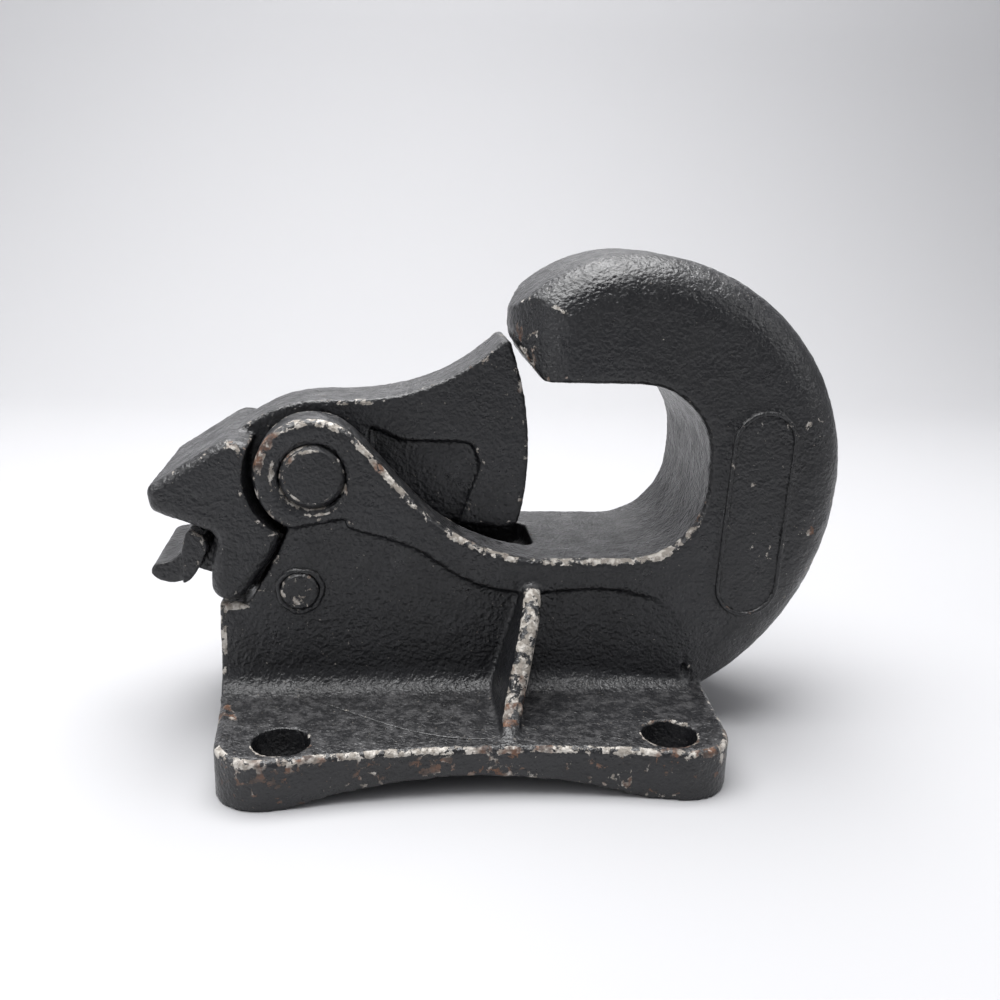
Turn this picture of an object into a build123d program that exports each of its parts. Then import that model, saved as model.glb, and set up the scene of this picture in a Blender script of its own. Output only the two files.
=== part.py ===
"""Bolt-on pintle hook (tow coupling): cast hook body, swinging latch, lock pawl, pins and springs.

Frame: origin at the centre of the bolt pattern on the mounting face, +Z out of that face,
+X from the latch handle towards the hook, Y across the two ears. Millimetres.
"""
import os
from math import cos, radians, sin, tan

from build123d import *

os.makedirs("parts", exist_ok=True)

# ---- driving dimensions -------------------------------------------------------------------
# mounting base
bolt_spacing_x = 116.0
bolt_spacing_y = 124.0
bolt_hole_r = 8.4
base_thickness = 16.0
base_end_margin = 18.0          # hole centre to the lobe's end, along X
base_side_margin = 15.0         # hole centre to the lobe's side, along Y
base_side_waist = 8.5           # how far the long sides draw in between the lobes
base_flare = 3.5                # how far the ends stand out beside the body
base_relief_height = 6.5        # arch under the base
base_relief_half_length = 53.0
base_corner_r = 14.0
base_edge_r = 1.5

# cast body
body_width = 58.0               # over the ears, rim and hook
wall_recess = 2.4               # the lower walls lie this much inside the rim
ear_gap = 26.5                  # slot between the ears
floor_z = 60.2                  # bottom of the throat
hook_top_z = 155.8
hook_back_x = 121.0             # outermost point of the hook
throat_back_x = 74.4
throat_roof_z = 116.8
tip_x = 11.0
hook_outer_r = 14.0
nose_depth = 21.0               # how far the tip's rounding runs back at the sides
rim_edge_r = 2.0
cove_r = 8.0
body_left_x = -79.5
shoulder_z = 45.4
slot_floor_z = 17.5
slot_end_x = 21.2
slot_end_r = 4.5
pad_height = 1.0                # blank raised pad on each side of the hook
pad_half_width = 10.0
rib_width = 6.0
rib_lean = 15.0                 # degrees from upright
rib_foot_x = 9.6

# latch pivot
pivot_x = -50.3
pivot_z = 86.8
boss_r = 18.0
latch_pin_r = 10.0
pin_ring_r = 11.6
pin_ring_depth = 1.0
pin_proud = 0.7
pin_fit = 0.02                  # pins in the ears
running_fit = 0.06              # radial, bushes on pins and pawl on its pin

# latch
web_width = ear_gap - 1.5       # hub, web and jaw, between the ears
cheek_clear = 3.0               # cheek's hollow round the boss
handle_edge_r = 3.5
hub_r = 22.0
jaw_pocket_depth = 3.0
bush_wall = 2.0
spring_slot = 12.8              # slot in the hub for the latch spring

# pawl
pawl_x = -54.5
pawl_z = 49.6
pawl_pin_r = 6.0
pawl_pin_proud = 1.9
pawl_hub_r = 9.0
pawl_arm_width = ear_gap - 2.5
crossbar_width = body_width - 9.6   # the bar that sits in the cheeks' notches
crossbar_play = 0.5
tab_setback = 3.5
pawl_spring_slot = 11.2

# springs
latch_wire = 2.8
latch_coil_r = 13.6
latch_leg_angle = -90.0         # where the latch spring's free leg leaves its coil
latch_turns = 2 + latch_leg_angle / 360
pawl_wire = 1.8
pawl_coil_r = 7.6
pawl_leg_angle = 105.0
pawl_turns = 3 + pawl_leg_angle / 360
coil_gap = 0.3
spring_leg_clear = 0.15
anchor_z = 34.0
anchor_depth = 20.0             # its reach into the front ear, from the middle
latch_leg = 22.0
pawl_leg = 19.0

half = body_width / 2
wall = half - wall_recess


def about_pivot(radius, angle):
    """A point at a radius and an angle in degrees round the latch pivot, in the XZ plane."""
    return (pivot_x + radius * cos(radians(angle)), pivot_z + radius * sin(radians(angle)))


anchor_r = (pivot_x + latch_coil_r - pawl_x - pawl_coil_r - (latch_wire + pawl_wire) / 2) / 2
anchor_r = anchor_r - spring_leg_clear
anchor_x = (pivot_x + latch_coil_r + pawl_x + pawl_coil_r - (latch_wire - pawl_wire) / 2) / 2
cheek_r = boss_r + cheek_clear

# ---- hook body ----------------------------------------------------------------------------
lobe_left = -bolt_spacing_x / 2 - base_end_margin
lobe_right = bolt_spacing_x / 2 + base_end_margin - 1.0
lobe_side = bolt_spacing_y / 2 + base_side_margin
base_left = lobe_left - base_flare
base_right = lobe_right + base_flare

boss_exit_angle = 42.0
boss_exit = about_pivot(boss_r, boss_exit_angle)
boss_neck = about_pivot(boss_r, 246)
# where the straight run off the boss would meet the throat's floor
rim_corner = (boss_exit[0] + (boss_exit[1] - floor_z) * tan(radians(boss_exit_angle)), floor_z)
hook_top_x = 50.0
back_top_r = hook_back_x - hook_top_x
hook_back = (hook_back_x, hook_top_z - back_top_r)
hook_foot = (84.0, 14.5)
foot_length = 12.0


def upper_contour():
    """Boss, rim, throat, tip and back of the hook, as one open run of curves."""
    ThreePointArc(boss_neck, about_pivot(boss_r, 145), boss_exit)
    FilletPolyline(
        boss_exit, rim_corner, (throat_back_x, floor_z), (throat_back_x, throat_roof_z),
        (20.5, throat_roof_z), radius=[60.0, 24.4, 24.0],
    )
    Polyline((20.5, throat_roof_z), (tip_x + 1.6, 127.0), (tip_x, 131.5), (tip_x, 137.0))
    TangentArc((hook_top_x, hook_top_z), (tip_x, 137.0), tangent=(-1, 0))
    TangentArc((hook_top_x, hook_top_z), hook_back, tangent=(1, 0))
    back = TangentArc(hook_back, hook_foot, tangent=(0, -1))
    PolarLine(hook_foot, foot_length, direction=back % 1)



# mounting base, waisted between its lobes
with BuildPart() as base:
    with BuildSketch():
        with BuildLine():
            side_arc = ThreePointArc(
                (base_left + 3.0, lobe_side), (-2.0, lobe_side - base_side_waist),
                (base_right - 3.0, lobe_side),
            )
            Polyline(side_arc @ 1, (base_right, 26.0), (base_right, -26.0), (base_right - 3.0, -lobe_side))
            ThreePointArc(
                (base_right - 3.0, -lobe_side), (-2.0, base_side_waist - lobe_side),
                (base_left + 3.0, -lobe_side),
            )
            Polyline(
                (base_left + 3.0, -lobe_side), (base_left, -26.0), (base_left, 26.0), side_arc @ 0,
            )
        make_face()
    extrude(amount=base_thickness)
    fillet(base.edges().filter_by(Axis.Z).filter_by(lambda edge: abs(edge.center().Y) > 40), base_corner_r)
    fillet(base.faces().sort_by(Axis.Z)[-1].edges(), base_edge_r)

# one leaning rib with a rounded crest, in front of the wall
lean = radians(rib_lean)
rib_plane = Plane(
    origin=(rib_foot_x, 0, base_thickness), x_dir=(0, -1, 0), z_dir=(-cos(lean), 0, sin(lean)),
)
with BuildPart() as rib:
    with BuildSketch(rib_plane):
        with BuildLine():
            Spline((66.5, 0.0), (52.0, 12.4), (45.0, 25.5), (35.0, 35.4), (wall - 3, 38.0))
            Polyline((wall - 3, 38.0), (wall - 3, -3.0), (66.5, -3.0), (66.5, 0.0))
        make_face()
    extrude(amount=rib_width / 2, both=True)
    fillet(rib.edges().filter_by(GeomType.BSPLINE), rib_width * 0.4)

with BuildPart() as hook_body:
    # ears, rim and hook, the full width of the casting
    with BuildSketch(Plane.XZ):
        with BuildLine() as contour:
            upper_contour()
            foot = contour.vertices().sort_by(Axis.Y)[0]
            Spline(
                (foot.X, foot.Y), (64.0, 44.0), (40.0, 50.4), (17.7, 49.2), (-3.0, 54.0),
                (-23.3, 66.0), (-40.0, 72.0), boss_neck,
                tangents=((-0.2, 1), (-1, -0.2)),
            )
        make_face()
    extrude(amount=half, both=True)
    side_edges = hook_body.edges().filter_by(
        lambda edge: edge.bounding_box().size.Y < 0.01 and abs(edge.center().Y) > half - 0.01
    )
    fillet(side_edges.filter_by(lambda edge: edge.center().X > hook_top_x + 40), hook_outer_r)
    rim_edges = hook_body.edges().filter_by(
        lambda edge: edge.bounding_box().size.Y < 0.01 and abs(edge.center().Y) > half - 0.01
        and edge.center().Z > floor_z - 0.1 and edge.center().X < throat_back_x + 0.1
        and edge.bounding_box().max.Z < throat_roof_z + 0.1 and edge.geom_type != GeomType.BSPLINE
    )
    fillet(rim_edges, rim_edge_r)
    # the tip is rounded in plan as well
    with BuildSketch(Plane.XY.offset(throat_roof_z - 5)):
        with BuildLine():
            nose_width = half + 0.4
            nose = Spline(
                (tip_x + nose_depth, -nose_width), (tip_x + 0.29 * nose_depth, -0.71 * nose_width),
                (tip_x, 0), (tip_x + 0.29 * nose_depth, 0.71 * nose_width),
                (tip_x + nose_depth, nose_width), tangents=((-1, 0), (1, 0)),
            )
            Polyline(nose @ 1, (tip_x - 6, nose_width), (tip_x - 6, -nose_width), nose @ 0)
        make_face()
    extrude(amount=hook_top_z - throat_roof_z + 10, mode=Mode.SUBTRACT)
    # lower walls, set in from the rim
    with BuildSketch(Plane.XZ):
        with BuildLine():
            Polyline(
                boss_neck, (-40.0, 77.0), (-20.0, 72.0), (0.0, 62.0), (20.0, 57.0), (60.0, 56.0),
                (80.0, 38.0), (74.0, 20.0), (70.0, base_thickness - 4), (body_left_x, base_thickness - 4),
                (body_left_x, shoulder_z), (body_left_x + 8.8, shoulder_z),
            )
            ThreePointArc((body_left_x + 8.8, shoulder_z), (-63.0, 58.5), boss_neck)
        make_face()
    extrude(amount=wall, both=True)
    # the walls ease out to full width where they run into the hook
    with BuildSketch(Plane.XY.offset(base_thickness)):
        Polygon((38.0, wall - 1), (38.0, wall), (70.0, half - 0.1), (70.0, wall - 1), align=None)
        mirror(about=Plane.XZ)
    extrude(amount=54.0 - base_thickness)
    add(base.part)
    # coves along the foot of the walls
    with BuildSketch(Plane.YZ.offset(body_left_x)):
        with BuildLine():
            Line((-wall - cove_r, base_thickness), (wall + cove_r, base_thickness))
            CenterArc((wall + cove_r, base_thickness + cove_r), cove_r, 180, 90)
            Line((wall, base_thickness + cove_r), (-wall, base_thickness + cove_r))
            CenterArc((-wall - cove_r, base_thickness + cove_r), cove_r, 270, 90)
        make_face()
    extrude(amount=73.0 - body_left_x)
    # leaning ribs from the base up to the rim
    add(rib.part)
    add(mirror(rib.part, about=Plane.XZ))
    # blank raised pads on the sides of the hook
    for side in (Plane.XZ.offset(half - 1), Plane.XZ.offset(-half + 1)):
        with BuildSketch(side):
            with Locations((90.3, 75.3)):
                SlotOverall(67.4, 2 * pad_half_width, rotation=88)
        out = 1 if side.origin.Y < 0 else -1
        extrude(amount=out * (pad_height + 1))
    # slot between the ears, running out at the latch handle's side
    with BuildSketch(Plane.XZ):
        with BuildLine():
            slot_arc = ThreePointArc(
                about_pivot(72.0, -32), about_pivot(72.0, -55),
                (pivot_x + 19.8, slot_floor_z),
            )
            Polyline(
                slot_arc @ 1, (-95.0, slot_floor_z), (-95.0, 112.0), (slot_end_x, 112.0),
                (slot_end_x, 54.0), slot_arc @ 0,
            )
        make_face()
    extrude(amount=ear_gap / 2, both=True, mode=Mode.SUBTRACT)
    # arch under the base
    with BuildSketch(Plane.XZ):
        with BuildLine():
            relief = ThreePointArc(
                (-base_relief_half_length - 3, 0), (-3.0, base_relief_height),
                (base_relief_half_length - 3, 0),
            )
            Line(relief @ 1, relief @ 0)
        make_face()
    extrude(amount=lobe_side + 5, both=True, mode=Mode.SUBTRACT)
    # bolt holes
    with GridLocations(bolt_spacing_x, bolt_spacing_y, 2, 2):
        Cylinder(bolt_hole_r, 3 * base_thickness, mode=Mode.SUBTRACT)
    # latch pin's bore and the shallow ring round it
    with Locations(Plane.XZ):
        with Locations((pivot_x, pivot_z, 0)):
            Cylinder(latch_pin_r + pin_fit, body_width + 4, mode=Mode.SUBTRACT)
        with Locations((pivot_x, pivot_z, half), (pivot_x, pivot_z, -half)):
            Cylinder(pin_ring_r, 2 * pin_ring_depth, mode=Mode.SUBTRACT)
        with Locations((pawl_x, pawl_z, 0)):
            Cylinder(pawl_pin_r + pin_fit, body_width + 4, mode=Mode.SUBTRACT)
        # blind from the slot into the front ear, through the back ear
        with Locations((anchor_x, anchor_z, (anchor_depth - half - 4) / 2)):
            Cylinder(anchor_r + pin_fit, half + 4 + anchor_depth, mode=Mode.SUBTRACT)
    slot_corners = hook_body.edges().filter_by(Axis.Z).filter_by(
        lambda edge: abs(edge.center().X - slot_end_x) < 0.1
    )
    fillet(slot_corners, slot_end_r)
hook_body.part.label = "hook_body"
export_step(hook_body.part, "parts/hook_body.step")


# ---- latch: handle, hub, bridge and jaw in one casting --------------------------------------
pivot_plane = Plane(origin=(pivot_x, 0, pivot_z), x_dir=(1, 0, 0), z_dir=(0, -1, 0))


def polar(radius, angle):
    return (radius * cos(radians(angle)), radius * sin(radians(angle)))


with BuildPart() as latch:
    # handle block and the two lobes that hang from it outside the ears' slot
    with BuildSketch(pivot_plane):
        with BuildLine():
            FilletPolyline(
                polar(cheek_r, 242), (-11.9, -24.8), (-22.2, -40.0), (-31.6, -40.0), (-31.0, -26.8),
                (-28.5, -18.6), (-48.7, -11.2), (-49.9, -4.1), (-25.7, 11.8), polar(cheek_r, 152),
                radius=[5.0, 4.0, 5.0, 12.0, 4.0, 3.5, 3.5, 8.0],
            )
            ThreePointArc(polar(cheek_r, 152), polar(cheek_r, 197), polar(cheek_r, 242))
        make_face()
    extrude(amount=half, both=True)
    handle_top = latch.edges().filter_by(
        lambda edge: edge.bounding_box().size.Y < 0.01 and edge.center().Z > pivot_z - 8
        and edge.center().X < pivot_x - cheek_r - 1
    )
    fillet(handle_top, handle_edge_r)
    # channel for the pawl's arm
    with BuildSketch(pivot_plane):
        Polygon((-30.5, -17.9), (-18.0, -12.6), (0.0, -12.6), (0.0, -45.0), (-40.0, -45.0), (-32.0, -26.8),
                align=None)
    extrude(amount=web_width / 2, both=True, mode=Mode.SUBTRACT)
    # room for the pawl's crossbar behind the lobes' outer skins
    with BuildSketch(pivot_plane):
        Polygon((-30.3, -29.3), (-28.9, -32.8), (-26.6, -36.8), (-23.3, -40.8), (-23.3, -45.0),
                (-40.0, -45.0), (-40.0, -29.3), align=None)
    extrude(amount=crossbar_width / 2 + crossbar_play, both=True, mode=Mode.SUBTRACT)
    # hub, bridge and jaw between the ears
    with BuildSketch(pivot_plane):
        with BuildLine():
            top = Spline(
                (-25.9, 9.6), (-19.8, 13.8), (-10.5, 18.6), (-1.2, 20.7), (8.9, 21.1), (25.0, 22.7),
                (37.0, 26.2), (51.1, 34.0), (58.5, 40.2),
            )
            ThreePointArc(top @ 1, (60.9, 40.6), (62.0, 38.6))
            ThreePointArc((62.0, 38.6), (68.4, 8.2), (65.9, -19.6))
            Polyline((65.9, -19.6), (61.3, -20.8), (26.3, -17.8), polar(hub_r, -60))
            ThreePointArc(polar(hub_r, -60), polar(hub_r, -102), polar(hub_r, 215))
            Polyline(polar(hub_r, 215), (-28.0, -16.0), top @ 0)
        make_face()
    web = extrude(amount=web_width / 2, both=True)
    # shallow pockets in the jaw's sides
    for side in (1, -1):
        with BuildSketch(pivot_plane.offset(side * web_width / 2)):
            with BuildLine():
                FilletPolyline(
                    (17.0, -30.0), (17.0, 13.0), (27.0, 8.4), (50.4, 7.6), (53.0, 0.0), (45.0, -24.0),
                    (45.0, -30.0), (17.0, -30.0), radius=[1.0, 1.0, 8.0, 4.0, 6.0, 1.0, 1.0],
                )
            make_face()
        extrude(amount=-side * jaw_pocket_depth, mode=Mode.SUBTRACT)
    # bore for the bushes, slot for the spring's coil and room for its legs
    with BuildSketch(pivot_plane):
        Circle(latch_pin_r + bush_wall + pin_fit)
    extrude(amount=web_width / 2 + 1, both=True, mode=Mode.SUBTRACT)
    with BuildSketch(pivot_plane):
        Circle(latch_coil_r + latch_wire / 2 + 2)
    extrude(amount=spring_slot / 2, both=True, mode=Mode.SUBTRACT)
    with BuildSketch(pivot_plane.offset(-spring_slot / 2)):
        Polygon((-12.0, -45.0), (-12.0, -5.0), (0.0, 5.0), (9.0, 13.2), (26.0, 6.0), (52.0, -17.0),
                (52.0, -45.0), align=None)
    extrude(amount=spring_slot / 2, mode=Mode.SUBTRACT)
    with BuildSketch(pivot_plane.offset(spring_slot / 2)):
        with Locations((-2.0, -latch_coil_r + latch_wire / 2 + 0.1)):
            Rectangle(latch_leg + 4, 30, align=(Align.MIN, Align.MAX))
    extrude(amount=-spring_slot / 2, mode=Mode.SUBTRACT)
latch.part.label = "latch"
export_step(latch.part, "parts/latch.step")

# ---- bushes and pins ------------------------------------------------------------------------
for side, name in ((1, "latch_bush_front"), (-1, "latch_bush_back")):
    with BuildPart() as bush:
        with BuildSketch(pivot_plane.offset(side * spring_slot / 2)):
            Circle(latch_pin_r + bush_wall)
            Circle(latch_pin_r + running_fit, mode=Mode.SUBTRACT)
        extrude(amount=side * (web_width - spring_slot) / 2)
    bush.part.label = name
    export_step(bush.part, f"parts/{name}.step")

with BuildPart() as latch_pin:
    with BuildSketch(pivot_plane):
        Circle(latch_pin_r)
    extrude(amount=half + pin_proud, both=True)
    chamfer(latch_pin.edges(), 1.5)
latch_pin.part.label = "latch_pin"
export_step(latch_pin.part, "parts/latch_pin.step")

pawl_plane = Plane(origin=(pawl_x, 0, pawl_z), x_dir=(1, 0, 0), z_dir=(0, -1, 0))
with BuildPart() as pawl_pin:
    with BuildSketch(pawl_plane):
        Circle(pawl_pin_r)
    extrude(amount=wall + pawl_pin_proud, both=True)
    chamfer(pawl_pin.edges(), 0.8)
pawl_pin.part.label = "pawl_pin"
export_step(pawl_pin.part, "parts/pawl_pin.step")

with BuildPart() as spring_anchor_pin:
    with BuildSketch(Plane(origin=(anchor_x, -anchor_depth, anchor_z), z_dir=(0, 1, 0))):
        Circle(anchor_r)
    extrude(amount=wall + anchor_depth)
    chamfer(spring_anchor_pin.edges(), 0.5)
spring_anchor_pin.part.label = "spring_anchor_pin"
export_step(spring_anchor_pin.part, "parts/spring_anchor_pin.step")

# ---- lock pawl ------------------------------------------------------------------------------
with BuildPart() as lock_pawl:
    # arm and hub
    with BuildSketch(pawl_plane):
        Polygon((-30.5, 16.4), (-15.5, 14.6), (-1.5, 11.2), (4.8, 7.6), (0.0, 0.0), (-2.5, -8.6),
                (-33.5, 2.4), align=None)
        Circle(pawl_hub_r)
    extrude(amount=pawl_arm_width / 2, both=True)
    # crossbar with its finger tab
    with BuildSketch(pawl_plane):
        with BuildLine():
            Spline(
                (-28.4, 12.8), (-30.4, 17.3), (-33.9, 18.8), (-35.9, 13.8), (-37.6, 10.2), (-41.3, 7.6),
                (-45.3, 6.6), (-46.5, 4.4), (-45.0, 2.0), (-41.8, 0.8), (-37.8, 0.9), (-34.3, 2.5),
                (-31.5, 6.1), periodic=True,
            )
        make_face()
    extrude(amount=crossbar_width / 2, both=True)
    # the finger tab is narrower than the bar it grows from
    for side in (1, -1):
        with BuildSketch(pawl_plane.offset(side * (crossbar_width / 2 - tab_setback))):
            with Locations((-36.4, 0.0)):
                Rectangle(20, 20, align=(Align.MAX, Align.MIN))
        extrude(amount=side * (tab_setback + 1), mode=Mode.SUBTRACT)
    with BuildSketch(pawl_plane):
        Circle(pawl_pin_r + running_fit)
    extrude(amount=pawl_arm_width / 2 + 1, both=True, mode=Mode.SUBTRACT)
    # slot for the spring's coil and its leg under the arm
    leg_line = Plane(
        origin=pawl_plane.from_local_coords(polar(pawl_coil_r, pawl_leg_angle)),
        x_dir=(-sin(radians(pawl_leg_angle)), 0, cos(radians(pawl_leg_angle))), z_dir=(0, -1, 0),
    )
    with BuildSketch(pawl_plane):
        Circle(pawl_coil_r + pawl_wire / 2 + 1)
    extrude(amount=pawl_spring_slot / 2, both=True, mode=Mode.SUBTRACT)
    with BuildSketch(leg_line):
        with Locations((-6.0, pawl_wire / 2 + 0.1)):
            Rectangle(pawl_leg + 8, 30, align=(Align.MIN, Align.MAX))
    extrude(amount=pawl_spring_slot / 2, both=True, mode=Mode.SUBTRACT)
lock_pawl.part.label = "lock_pawl"
export_step(lock_pawl.part, "parts/lock_pawl.step")


# ---- torsion springs ------------------------------------------------------------------------
def torsion_spring(name, at_x, at_z, coil_r, wire, turns, free_angle, free_leg):
    """Coil along Y, a free leg off its front end, a straight leg down past the anchor pin."""
    span = (wire + coil_gap) * turns
    with BuildPart() as spring:
        with BuildLine():
            coil = Helix(wire + coil_gap, span, coil_r, center=(0, -span / 2, 0), direction=(0, 1, 0))
        with BuildSketch(Plane(origin=coil @ 0, z_dir=coil % 0)):
            Circle(wire / 2)
        sweep(path=coil)
        for end, length in ((0, -free_leg), (1, at_z - anchor_z + anchor_r)):
            with BuildSketch(Plane(origin=coil @ end, z_dir=coil % end)):
                Circle(wire / 2)
            extrude(amount=length)
    placed = Pos(at_x, 0, at_z) * Rot(0, 90 - free_angle, 0) * spring.part
    placed.label = name
    export_step(placed, f"parts/{name}.step")


# the last part turn brings each coil's end round to its right-hand side
torsion_spring(
    "latch_spring", pivot_x, pivot_z, latch_coil_r, latch_wire, latch_turns, latch_leg_angle, latch_leg,
)
torsion_spring(
    "pawl_spring", pawl_x, pawl_z, pawl_coil_r, pawl_wire, pawl_turns, pawl_leg_angle, pawl_leg,
)
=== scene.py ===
"""Looks of a bolt-on pintle hook: worn black paint over rough castings, on a pale studio floor."""

from math import cos, radians, sin

import bpy
import numpy as np
from mathutils import Matrix, Vector


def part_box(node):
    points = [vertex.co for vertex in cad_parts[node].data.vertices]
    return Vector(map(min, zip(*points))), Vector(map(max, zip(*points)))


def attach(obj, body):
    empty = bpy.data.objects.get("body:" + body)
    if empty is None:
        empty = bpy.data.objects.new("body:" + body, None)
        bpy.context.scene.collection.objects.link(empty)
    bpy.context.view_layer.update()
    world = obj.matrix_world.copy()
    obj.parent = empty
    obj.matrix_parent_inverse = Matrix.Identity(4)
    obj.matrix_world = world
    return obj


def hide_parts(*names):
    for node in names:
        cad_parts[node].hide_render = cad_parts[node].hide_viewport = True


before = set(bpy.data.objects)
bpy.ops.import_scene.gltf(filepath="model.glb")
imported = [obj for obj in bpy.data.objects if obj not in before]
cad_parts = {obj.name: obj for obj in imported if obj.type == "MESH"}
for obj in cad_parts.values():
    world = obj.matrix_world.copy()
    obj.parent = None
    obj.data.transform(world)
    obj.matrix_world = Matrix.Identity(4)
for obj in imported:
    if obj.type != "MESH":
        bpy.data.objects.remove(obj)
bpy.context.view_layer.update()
scene = bpy.context.scene


# ---- castings: the CAD surface with eased edges and a rough sand-cast skin -----------------
def neighbour_mean(values, edges, count):
    """Mean over each vertex's neighbours."""
    total = np.zeros_like(values)
    np.add.at(total, edges[:, 0], values[edges[:, 1]])
    np.add.at(total, edges[:, 1], values[edges[:, 0]])
    return total / count.reshape((-1,) + (1,) * (values.ndim - 1))


def mesh_arrays(mesh):
    """Vertex positions, edges and each vertex's number of neighbours."""
    points = np.zeros(len(mesh.vertices) * 3)
    mesh.vertices.foreach_get("co", points)
    edges = np.zeros(len(mesh.edges) * 2, int)
    mesh.edges.foreach_get("vertices", edges)
    edges = edges.reshape(-1, 2)
    count = np.bincount(edges.ravel(), minlength=len(mesh.vertices)).astype(float)
    return points.reshape(-1, 3), edges, np.maximum(count, 1)


def store_edge_wear(mesh, voxel):
    """Keeps how sharply the surface turns outward, as the attribute edge_wear."""
    points, edges, count = mesh_arrays(mesh)
    normals = np.zeros(len(mesh.vertices) * 3)
    mesh.vertex_normals.foreach_get("vector", normals)
    normals = normals.reshape(-1, 3)
    outward = -((neighbour_mean(points, edges, count) - points) * normals).sum(axis=1) / voxel**2
    for _ in range(6):
        outward = 0.5 * outward + 0.5 * neighbour_mean(outward, edges, count)
    layer = mesh.attributes.new("edge_wear", "FLOAT", "POINT")
    layer.data.foreach_set("value", (outward * 1e-3).astype(np.float32))


def roughened(piece, name, size, height):
    """Adds one grain of cast skin to the piece."""
    grain = bpy.data.textures.new(name, "CLOUDS")
    grain.noise_scale = size
    grain.noise_depth = 1
    skin = piece.modifiers.new(name, "DISPLACE")
    skin.texture = grain
    skin.texture_coords = "LOCAL"
    skin.mid_level = 0.5
    skin.strength = height


def settle(piece):
    """Turns the piece's modifiers into plain mesh."""
    depsgraph = bpy.context.evaluated_depsgraph_get()
    settled = bpy.data.meshes.new_from_object(piece.evaluated_get(depsgraph))
    piece.modifiers.clear()
    piece.data = settled


def casting(node, body, voxel, smoothing, skin):
    """A finely meshed stand-in for a CAD node, with eased edges and a rough skin."""
    piece = bpy.data.objects.new(node + "_cast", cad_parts[node].data.copy())
    scene.collection.objects.link(piece)
    even = piece.modifiers.new("even", "REMESH")
    even.mode = "VOXEL"
    even.voxel_size = voxel
    even.adaptivity = 0.0
    eased = piece.modifiers.new("eased", "SMOOTH")
    eased.factor = 0.5
    eased.iterations = smoothing
    settle(piece)
    store_edge_wear(piece.data, voxel)
    for index, (size, height) in enumerate(skin):
        roughened(piece, f"{node}_grain_{index}", size, height)
    settle(piece)
    for polygon in piece.data.polygons:
        polygon.use_smooth = True
    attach(piece, body)
    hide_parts(node)
    return piece


# ---- materials --------------------------------------------------------------------------------
class Nodes:
    """A short way to write a procedural material."""

    def __init__(self, name):
        self.material = bpy.data.materials.new(name)
        self.material.use_nodes = True
        self.tree = self.material.node_tree
        self.shader = self.tree.nodes["Principled BSDF"]
        self.coords = self.tree.nodes.new("ShaderNodeTexCoord").outputs["Object"]

    def link(self, value, socket):
        if isinstance(value, (int, float, tuple)):
            socket.default_value = value
        else:
            self.tree.links.new(value, socket)

    def noise(self, scale, detail=2.0, roughness=0.5, distortion=0.0):
        node = self.tree.nodes.new("ShaderNodeTexNoise")
        node.inputs["Scale"].default_value = scale
        node.inputs["Detail"].default_value = detail
        node.inputs["Roughness"].default_value = roughness
        node.inputs["Distortion"].default_value = distortion
        self.link(self.coords, node.inputs["Vector"])
        return node.outputs["Fac"]

    def grain(self, scale):
        """Rounded bumps side by side, as the sand leaves them."""
        node = self.tree.nodes.new("ShaderNodeTexVoronoi")
        node.feature = "SMOOTH_F1"
        node.inputs["Scale"].default_value = scale
        node.inputs["Smoothness"].default_value = 0.8
        self.link(self.coords, node.inputs["Vector"])
        return node.outputs["Distance"]

    def math(self, kind, first, second=0.0):
        node = self.tree.nodes.new("ShaderNodeMath")
        node.operation = kind
        self.link(first, node.inputs[0])
        self.link(second, node.inputs[1])
        return node.outputs[0]

    def product(self, first, *others):
        for other in others:
            first = self.math("MULTIPLY", first, other)
        return first

    def largest(self, first, *others):
        for other in others:
            first = self.math("MAXIMUM", first, other)
        return first

    def step(self, value, low, high, out_low=0.0, out_high=1.0):
        """Goes from out_low to out_high as value goes from low to high."""
        node = self.tree.nodes.new("ShaderNodeMapRange")
        node.interpolation_type = "SMOOTHSTEP"
        self.link(value, node.inputs["Value"])
        node.inputs["From Min"].default_value = low
        node.inputs["From Max"].default_value = high
        node.inputs["To Min"].default_value = out_low
        node.inputs["To Max"].default_value = out_high
        return node.outputs["Result"]

    def mix(self, factor, first, second):
        node = self.tree.nodes.new("ShaderNodeMix")
        node.data_type = "RGBA"
        self.link(factor, node.inputs[0])
        self.link(first, node.inputs[6])
        self.link(second, node.inputs[7])
        return node.outputs[2]

    def mix_value(self, factor, first, second):
        node = self.tree.nodes.new("ShaderNodeMix")
        node.data_type = "FLOAT"
        self.link(factor, node.inputs[0])
        self.link(first, node.inputs[2])
        self.link(second, node.inputs[3])
        return node.outputs[0]

    def bump(self, height, distance, under=None):
        node = self.tree.nodes.new("ShaderNodeBump")
        node.inputs["Distance"].default_value = distance
        self.link(height, node.inputs["Height"])
        if under is not None:
            self.link(under, node.inputs["Normal"])
        return node.outputs["Normal"]

    def attribute(self, name):
        node = self.tree.nodes.new("ShaderNodeAttribute")
        node.attribute_name = name
        return node.outputs["Fac"]

    def slope(self):
        """1 on faces that look straight up, 0 on walls, -1 on faces that look down."""
        geometry = self.tree.nodes.new("ShaderNodeNewGeometry")
        parts = self.tree.nodes.new("ShaderNodeSeparateXYZ")
        self.link(geometry.outputs["Normal"], parts.inputs[0])
        return parts.outputs["Z"]

    def axis(self, letter):
        node = self.tree.nodes.new("ShaderNodeSeparateXYZ")
        self.link(self.coords, node.inputs[0])
        return node.outputs[letter]

    def finish(self, color, metallic, roughness, normal=None):
        self.link(color, self.shader.inputs["Base Color"])
        self.link(metallic, self.shader.inputs["Metallic"])
        self.link(roughness, self.shader.inputs["Roughness"])
        if normal is not None:
            self.link(normal, self.shader.inputs["Normal"])
        return self.material


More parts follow.
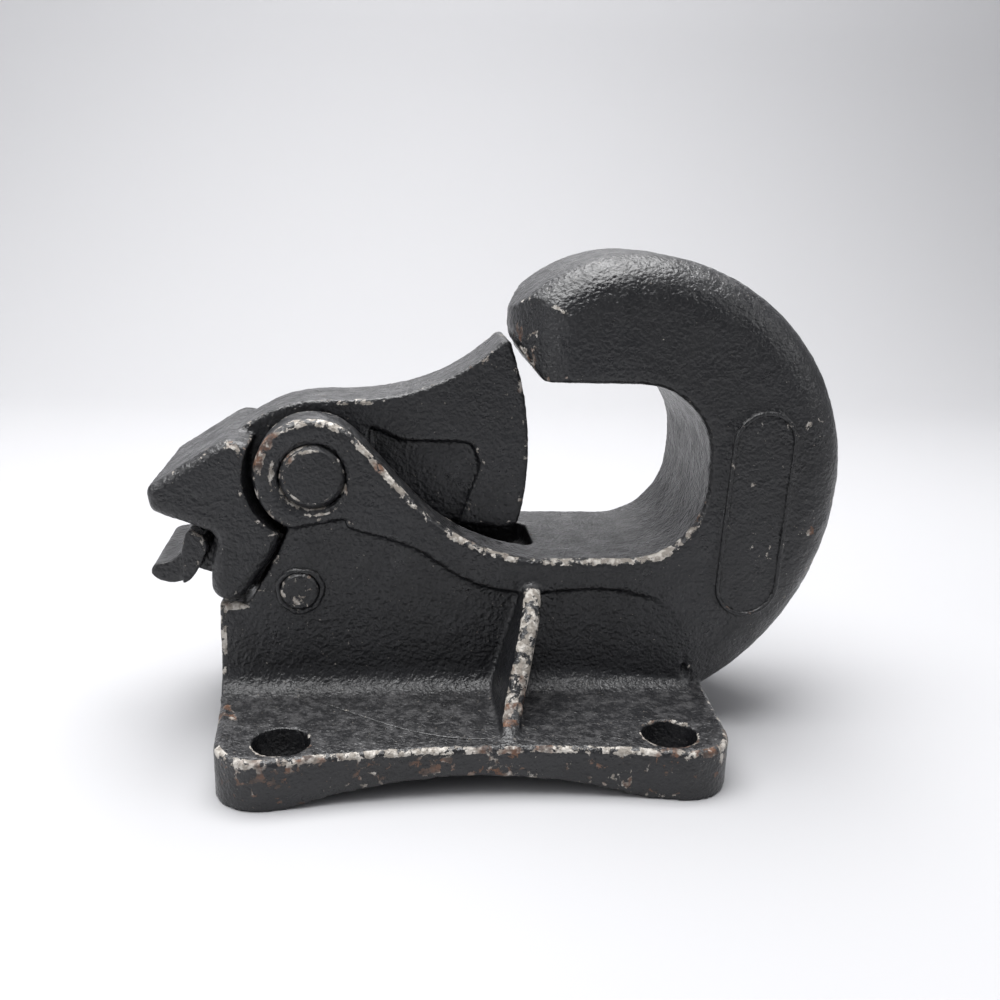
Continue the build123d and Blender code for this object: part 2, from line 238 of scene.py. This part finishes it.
black = (0.0042, 0.0044, 0.0054, 1.0)
dusty_black = (0.0100, 0.0105, 0.0125, 1.0)
bare_grey = (0.25, 0.225, 0.195, 1.0)
pale_primer = (0.50, 0.47, 0.43, 1.0)
rust_brown = (0.14, 0.065, 0.035, 1.0)
dark_rust = (0.045, 0.026, 0.019, 1.0)
# dust and painted top light: the lighter grey laid on the faces that look up
dust_and_top_light = (0.078, 0.077, 0.079, 1.0)
wear_reach = 0.30       # how far full wear lifts the chip noise towards the chips' threshold
chip_softness = 0.03    # width of a chip's edge, in the same noise
paint_gloss = 0.62


def worn_paint(name, chip_start, edge_share, extra=None):
    """Satin black paint, chipped where edges turn outward; extra adds wear somewhere of its own."""
    n = Nodes(name)
    edge = n.attribute("edge_wear")
    slope = n.slope()
    upward = n.step(slope, 0.35, 0.95)
    broad = n.noise(26.0, 3.0, 0.6)
    chips = n.noise(300.0, 5.0, 0.66, 0.3)
    # chips: noise decides the shape, the edges and broad patches decide where
    worn = n.product(
        n.step(edge, 0.020, 0.060),
        n.step(broad, 0.38, 0.62, 0.30 * edge_share, edge_share),
        n.step(slope, -0.5, 0.1, 0.45, 1.0),
    )
    rusty = n.step(n.noise(45.0, 4.0, 0.7), 0.5, 0.62)
    if extra is not None:
        more, more_rust = extra(n)
        worn = n.math("MAXIMUM", worn, more)
        rusty = n.math("MAXIMUM", rusty, more_rust)
    chip_field = n.math("ADD", chips, n.math("MULTIPLY", worn, wear_reach))
    chip_mask = n.step(chip_field, chip_start, chip_start + chip_softness)
    # bare specks and painted glints: small pale dots, a few more on the faces that look up
    speck_and_glint_field = n.math("ADD", n.noise(1000.0, 2.0, 0.5), n.math("MULTIPLY", upward, 0.035))
    speck_and_glint_mask = n.step(speck_and_glint_field, 0.735, 0.765)
    # paint: dusty in broad patches, and lighter on the faces that look up as dust and painted top light,
    # mottled by the rough skin
    paint = n.mix(n.step(broad, 0.3, 0.75), black, dusty_black)
    mottle = n.step(n.noise(340.0, 4.0, 0.7), 0.42, 0.66, 0.15, 0.9)
    paint = n.mix(n.math("MULTIPLY", upward, mottle), paint, dust_and_top_light)
    metal = n.mix(n.step(n.noise(520.0, 2.0), 0.42, 0.62), bare_grey, pale_primer)
    rust = n.mix(n.step(n.noise(330.0, 3.0), 0.4, 0.65), dark_rust, rust_brown)
    under = n.mix(n.math("MULTIPLY", rusty, n.step(n.noise(160.0, 3.0, 0.7), 0.37, 0.48)), metal, rust)
    color = n.mix(chip_mask, n.mix(n.math("MULTIPLY", speck_and_glint_mask, 0.75), paint, bare_grey), under)
    rough = n.step(n.noise(150.0, 3.0), 0.3, 0.75, 0.27, 0.43)
    rough = n.mix_value(chip_mask, rough, 0.6)
    normal = n.bump(n.grain(720.0), 0.00030)
    normal = n.bump(n.noise(1300.0, 2.0, 0.5), 0.00035, normal)
    normal = n.bump(n.math("SUBTRACT", 1.0, chip_mask), 0.00012, normal)
    n.shader.inputs["Specular IOR Level"].default_value = paint_gloss
    return n.finish(color, 0.0, rough, normal)


def body_extra(n):
    """Wear where the photo shows it on the body, and a painted highlight along the rib crests: each
    region is a product of soft limits.
    """
    x, y, z = n.axis("X"), n.axis("Y"), n.axis("Z")
    edge = n.attribute("edge_wear")
    broad = n.noise(60.0, 3.0, 0.6)
    side = n.math("ABSOLUTE", y)
    # base: its front face, and the edge above that face
    rim = n.product(n.step(y, -0.0655, -0.069), n.step(z, 0.0160, 0.0150))
    top_edge = n.product(
        n.step(y, -0.062, -0.065), n.step(z, 0.0125, 0.0140), n.step(edge, 0.03, 0.06),
    )
    # crests of the ribs: pale chips together with a painted highlight along each crest
    crest_chips_and_highlight = n.product(
        n.step(side, 0.0295, 0.0315), n.step(z, 0.0172, 0.0185),
        n.step(x, 0.002, 0.006), n.step(x, 0.032, 0.026), n.step(edge, 0.022, 0.05),
    )
    # upper front edge of the ear and the throat's rim
    front_edge = n.product(
        n.step(y, -0.0255, -0.027), n.step(z, 0.056, 0.060), n.step(x, 0.078, 0.070),
        n.step(edge, 0.015, 0.034), n.step(n.slope(), -0.02, 0.25),
    )
    # under the hook's nose
    tip = n.product(
        n.step(x, 0.024, 0.014), n.step(z, 0.116, 0.120), n.step(z, 0.138, 0.132),
        n.step(y, -0.006, -0.012),
    )
    pad = n.product(n.step(side, 0.0290, 0.0296), n.step(x, 0.078, 0.080))
    # front of the hook's outer curve
    outer = n.product(
        n.step(x, 0.097, 0.106), n.step(y, -0.010, -0.018), n.step(z, 0.030, 0.045),
        n.step(z, 0.115, 0.100),
    )
    left_edge = n.product(
        n.step(x, -0.0600, -0.0625), n.step(edge, 0.012, 0.03), n.step(z, 0.018, 0.022),
    )
    # a rusty nick by the left bolt hole, slanted and wavering
    nick_y = n.math("ADD", y, 0.040)
    waver = n.math("MULTIPLY", n.noise(150.0), 0.004)
    nick_x = n.math("ABSOLUTE", n.math("ADD", n.math("ADD", x, 0.0745), waver))
    nick_x = n.math("ABSOLUTE", n.math("ADD", nick_x, n.math("MULTIPLY", nick_y, 0.35)))
    nick = n.product(
        n.step(nick_x, 0.0032, 0.0008), n.step(n.math("ABSOLUTE", nick_y), 0.011, 0.007),
        n.step(z, 0.013, 0.015),
    )
    wear = n.largest(
        n.product(rim, n.step(broad, 0.42, 0.64, 0.30, 0.70)),
        n.product(nick, 0.85),
        n.product(top_edge, 0.82),
        n.product(crest_chips_and_highlight, 0.86),
        n.product(front_edge, n.step(broad, 0.34, 0.54, 0.52, 0.98)),
        n.product(tip, n.step(broad, 0.38, 0.56, 0.30, 0.78)),
        n.product(pad, n.step(broad, 0.45, 0.62, 0.0, 0.36)),
        n.product(outer, n.step(broad, 0.46, 0.62, 0.0, 0.62)),
        n.product(left_edge, n.step(broad, 0.40, 0.58, 0.35, 0.85)),
    )
    rim_rust = n.product(rim, n.step(edge, 0.035, 0.02), 0.95)
    return wear, n.largest(rim_rust, nick)


def pin_end_extra(n):
    """Patchy wear all over a small pin's end."""
    return n.step(n.noise(190.0, 3.0, 0.6), 0.42, 0.62, 0.15, 0.60), 0.0


def plain_metal(name, color, rough, scale):
    """Bare metal with faint patches and a fine surface."""
    n = Nodes(name)
    tone = n.step(n.noise(scale, 3.0), 0.35, 0.7)
    darker = tuple(0.55 * c for c in color[:3]) + (1.0,)
    normal = n.bump(n.noise(scale * 6, 2.0), 0.00008)
    roughness = n.step(n.noise(scale * 2, 2.0), 0.3, 0.7, rough, rough + 0.2)
    return n.finish(n.mix(tone, color, darker), 1.0, roughness, normal)


fine_skin = [(0.0016, 0.00022), (0.006, 0.0004)]
body_piece = casting("hook_body", "body", 0.0008, 5, fine_skin)
latch_piece = casting("latch", "latch", 0.0007, 5, fine_skin)
pawl_piece = casting("lock_pawl", "pawl", 0.0006, 3, [(0.0016, 0.00018)])
latch_pin_piece = casting("latch_pin", "body", 0.0004, 3, [(0.003, 0.0001)])
pawl_pin_piece = casting("pawl_pin", "body", 0.0004, 3, [(0.003, 0.0001)])

body_piece.data.materials.clear()
body_piece.data.materials.append(worn_paint("body_paint_worn", 0.715, 0.62, body_extra))
for piece, start, edge_share, extra in (
    (latch_piece, 0.735, 0.62, None), (pawl_piece, 0.735, 0.6, None),
    (latch_pin_piece, 0.72, 0.85, None), (pawl_pin_piece, 0.70, 0.9, pin_end_extra),
):
    piece.data.materials.clear()
    piece.data.materials.append(worn_paint(piece.name + "_paint", start, edge_share, extra))


bead_wear = 0.07    # beads count as sharp edges, so their paint is chipped


def raised_line(name, points, thickness, closed, body, material):
    """A thin cast bead along a run of points, half sunk in the surface."""
    path = bpy.data.curves.new(name, "CURVE")
    path.dimensions = "3D"
    path.bevel_depth = thickness
    path.bevel_resolution = 3
    run = path.splines.new("POLY")
    run.points.add(len(points) - 1)
    for point, place in zip(run.points, points):
        point.co = (*place, 1.0)
    run.use_cyclic_u = closed
    helper = bpy.data.objects.new(name + "_path", path)
    scene.collection.objects.link(helper)
    bead = bpy.data.objects.new(name, bpy.data.meshes.new_from_object(
        helper.evaluated_get(bpy.context.evaluated_depsgraph_get())
    ))
    bpy.data.objects.remove(helper)
    scene.collection.objects.link(bead)
    for polygon in bead.data.polygons:
        polygon.use_smooth = True
    worn = bead.data.attributes.new("edge_wear", "FLOAT", "POINT")
    worn.data.foreach_set("value", [bead_wear] * len(bead.data.vertices))
    bead.data.materials.clear()
    bead.data.materials.append(material)
    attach(bead, body)
    return bead


def pad_outline(side):
    """The rounded border of the blank pad on one side of the hook, leaning with the pad."""
    middle = Vector((0.0903, side * 0.0298, 0.0753))
    end_r, half_straight, lean = 0.0098, 0.0237, 0.035
    points = []
    for end, start_angle in ((1, 0), (-1, 180)):
        for step in range(0, 181, 12):
            angle = radians(start_angle + step)
            across, along = end_r * cos(angle), end * half_straight + end_r * sin(angle)
            points.append(middle + Vector((across + lean * along, 0.0, along)))
    return points


body_paint = body_piece.data.materials[0]
for side, name in ((-1, "pad_outline_front"), (1, "pad_outline_back")):
    raised_line(name, pad_outline(side), 0.0008, True, "body", body_paint)
# the thin curved flow line left on the base by the casting
flow_line = []
for step in range(25):
    t = step / 24
    flow_line.append((
        -0.0462 + 0.0478 * t, -0.0382 - 0.0385 * t + 0.0135 * t**3, 0.0160 + 0.0001 * sin(9 * t),
    ))
raised_line("flow_line", flow_line, 0.00045, False, "body", body_paint)

pawl_low, pawl_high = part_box("pawl_pin")
pawl_middle = (pawl_low + pawl_high) / 2
collar_r = (pawl_high.x - pawl_low.x) / 2 + 0.0008
for side, name in ((-1, "pawl_pin_bead_front"), (1, "pawl_pin_bead_back")):
    ring = []
    for step in range(48):
        angle = radians(7.5 * step)
        wander = 1 + 0.03 * sin(3 * angle) + 0.02 * sin(7 * angle + 1)
        ring.append(pawl_middle + Vector((
            collar_r * wander * cos(angle), side * 0.02665, collar_r * wander * sin(angle),
        )))
    raised_line(name, ring, 0.0010, True, "body", body_paint)

bronze = plain_metal("bronze", (0.42, 0.27, 0.12, 1.0), 0.35, 300.0)
wire = plain_metal("spring_wire", (0.16, 0.155, 0.15, 1.0), 0.32, 400.0)
pin_end = plain_metal("pin_end", (0.10, 0.10, 0.10, 1.0), 0.4, 300.0)
for node, material in (
    ("latch_bush_front", bronze), ("latch_bush_back", bronze), ("latch_spring", wire),
    ("pawl_spring", wire), ("spring_anchor_pin", pin_end),
):
    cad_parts[node].data.materials.clear()
    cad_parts[node].data.materials.append(material)

# ---- stage: pale sweep, soft light from above ---------------------------------------------------
profile = [(-1.6, 0.0), (0.55, 0.0)]
profile += [(0.55 + 0.35 * sin(radians(a)), 0.35 - 0.35 * cos(radians(a))) for a in range(6, 91, 6)]
profile += [(0.9, 2.4)]
sweep_points = [(x, y, z) for x in (-2.2, 2.2) for y, z in profile]
count = len(profile)
sweep_mesh = bpy.data.meshes.new("studio_sweep")
sweep_mesh.from_pydata(sweep_points, [], [(i, i + 1, count + i + 1, count + i) for i in range(count - 1)])
for polygon in sweep_mesh.polygons:
    polygon.use_smooth = True
sweep = bpy.data.objects.new("studio_sweep", sweep_mesh)
scene.collection.objects.link(sweep)
paper = Nodes("pale_paper")
sweep_mesh.materials.append(paper.finish((0.46, 0.46, 0.472, 1.0), 0.0, 0.85))


def softbox(name, place, target, size, power):
    """A rectangular light at place, turned to target."""
    light = bpy.data.lights.new(name, "AREA")
    light.shape = "RECTANGLE"
    light.size, light.size_y = size
    light.energy = power
    box = bpy.data.objects.new(name, light)
    box.location = place
    box.rotation_mode = "QUATERNION"
    box.rotation_quaternion = (Vector(target) - Vector(place)).to_track_quat("-Z", "Y")
    scene.collection.objects.link(box)


softbox("top_softbox", (-0.10, 0.10, 0.95), (0, 0, 0.05), (1.2, 0.9), 24.0)
softbox("left_softbox", (-0.95, -0.45, 0.55), (0, 0, 0.08), (0.5, 0.5), 3.0)
softbox("right_softbox", (0.95, -0.35, 0.60), (0, 0, 0.08), (0.5, 0.5), 2.0)

world = bpy.data.worlds.new("studio_air")
scene.world = world
world.use_nodes = True
world.node_tree.nodes["Background"].inputs["Color"].default_value = (0.93, 0.94, 1.0, 1.0)
world.node_tree.nodes["Background"].inputs["Strength"].default_value = 0.26
scene.view_settings.view_transform = "Standard"

# ---- camera ---------------------------------------------------------------------------------------
yaw, pitch, roll = 0.1165, 0.2719, -0.0355
forward = Vector((sin(yaw) * cos(pitch), cos(yaw) * cos(pitch), -sin(pitch)))
level_right = Vector((cos(yaw), -sin(yaw), 0))
level_down = forward.cross(level_right)
right = cos(roll) * level_right + sin(roll) * level_down
down = -sin(roll) * level_right + cos(roll) * level_down
lens = bpy.data.cameras.new("camera")
lens.sensor_width = 36.0
lens.lens = 38.8
lens.clip_start, lens.clip_end = 0.01, 10.0
camera = bpy.data.objects.new("camera", lens)
camera.matrix_world = Matrix((
    (right.x, -down.x, -forward.x, -0.03006),
    (right.y, -down.y, -forward.y, -0.35027),
    (right.z, -down.z, -forward.z, 0.17033),
    (0, 0, 0, 1),
))
scene.collection.objects.link(camera)
scene.camera = camera
